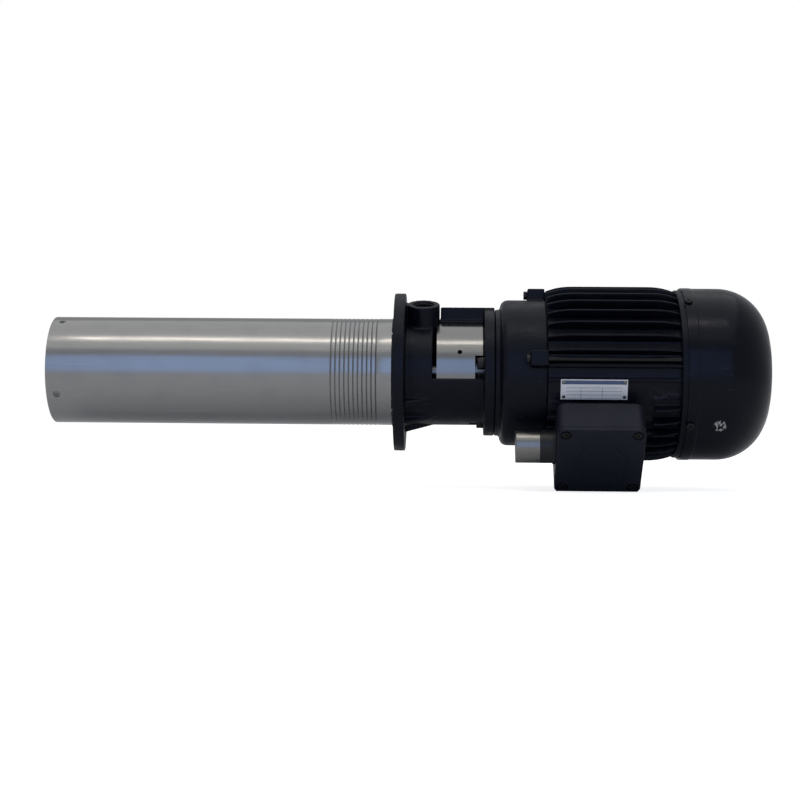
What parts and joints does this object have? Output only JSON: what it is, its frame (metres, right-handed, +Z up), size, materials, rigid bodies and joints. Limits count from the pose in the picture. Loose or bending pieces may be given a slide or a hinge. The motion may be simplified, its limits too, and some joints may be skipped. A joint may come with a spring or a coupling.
{
  "type": "immersion coolant pump",
  "caption": "Tank-top coolant pump: dip tube with a multistage stack, round drilled flange, side outlet, open lantern and finned motor with terminal box.",
  "frame": {"origin": "centre of the mounting flange's underside, on the shaft's axis", "axes": "+Z up the shaft towards the fan; -Y towards the terminal box; +X completes a right-handed frame"},
  "size_m": [0.1998, 0.2374, 0.8115],
  "materials": {
    "tube_steel": "brushed, dull",
    "pump_cast": "satin black paint on cast iron",
    "motor_paint": "semi-gloss near-black paint",
    "cover_paint": "semi-gloss near-black paint on sheet steel",
    "box_paint": "semi-gloss near-black paint",
    "gland_plastic": "matt black polyamide",
    "gland_metal": "bright turned metal",
    "fan_plastic": "matt black plastic",
    "screw_steel": "zinc plated",
    "guard_steel": "dull sheet steel",
    "shaft_steel": "ground steel",
    "core_steel": "laminated electrical steel",
    "copper": "enamelled winding copper",
    "wheel_plastic": "moulded engineering plastic",
    "stage_steel": "pressed stainless steel",
    "bush_carbon": "bearing carbon",
    "gasket_rubber": "flat gasket",
    "plate_aluminium": "blank anodised plate",
    "terminal_plastic": "moulded phenolic block",
    "terminal_brass": "plated brass"
  },
  "bodies": {
    "housing": {"dip_tube": "tube_steel", "tube_screws": "screw_steel", "suction_cover": "pump_cast", "stage_casings": "stage_steel", "stack_cover": "pump_cast", "shaft_bushes": "bush_carbon", "tie_rods": "shaft_steel", "tie_rod_nuts": "screw_steel", "pump_head": "pump_cast", "coupling_guards": "guard_steel", "shaft_seal": "bush_carbon", "face_screws": "screw_steel", "front_endshield": "motor_paint", "stator_frame": "motor_paint", "stator_core": "core_steel", "end_windings": "copper", "rear_endshield": "motor_paint", "fan_cover": "cover_paint", "cover_screws": "screw_steel", "through_bolts": "screw_steel", "bearing_outer_rings": "shaft_steel", "box_gasket": "gasket_rubber", "terminal_box": "box_paint", "lid_gasket": "gasket_rubber", "box_lid": "box_paint", "lid_screws": "screw_steel", "box_screws": "screw_steel", "terminal_block": "terminal_plastic", "terminal_studs": "terminal_brass", "gland_body": "gland_plastic", "gland_sleeve": "gland_metal", "nameplate": "plate_aluminium", "plate_rivets": "screw_steel"},
    "rotor": {"pump_shaft": "shaft_steel", "impellers": "wheel_plastic", "shaft_coupling": "shaft_steel", "coupling_screws": "screw_steel", "motor_shaft": "shaft_steel", "bearing_inner_rings": "shaft_steel", "rotor_core": "core_steel", "fan": "fan_plastic"}
  },
  "joints": [
    {"name": "rotor_spin", "type": "hinge", "parent": "housing", "child": "rotor", "pos_m": [0, 0, 0], "axis": [0, 0, 1], "continuous": true}
  ]
}
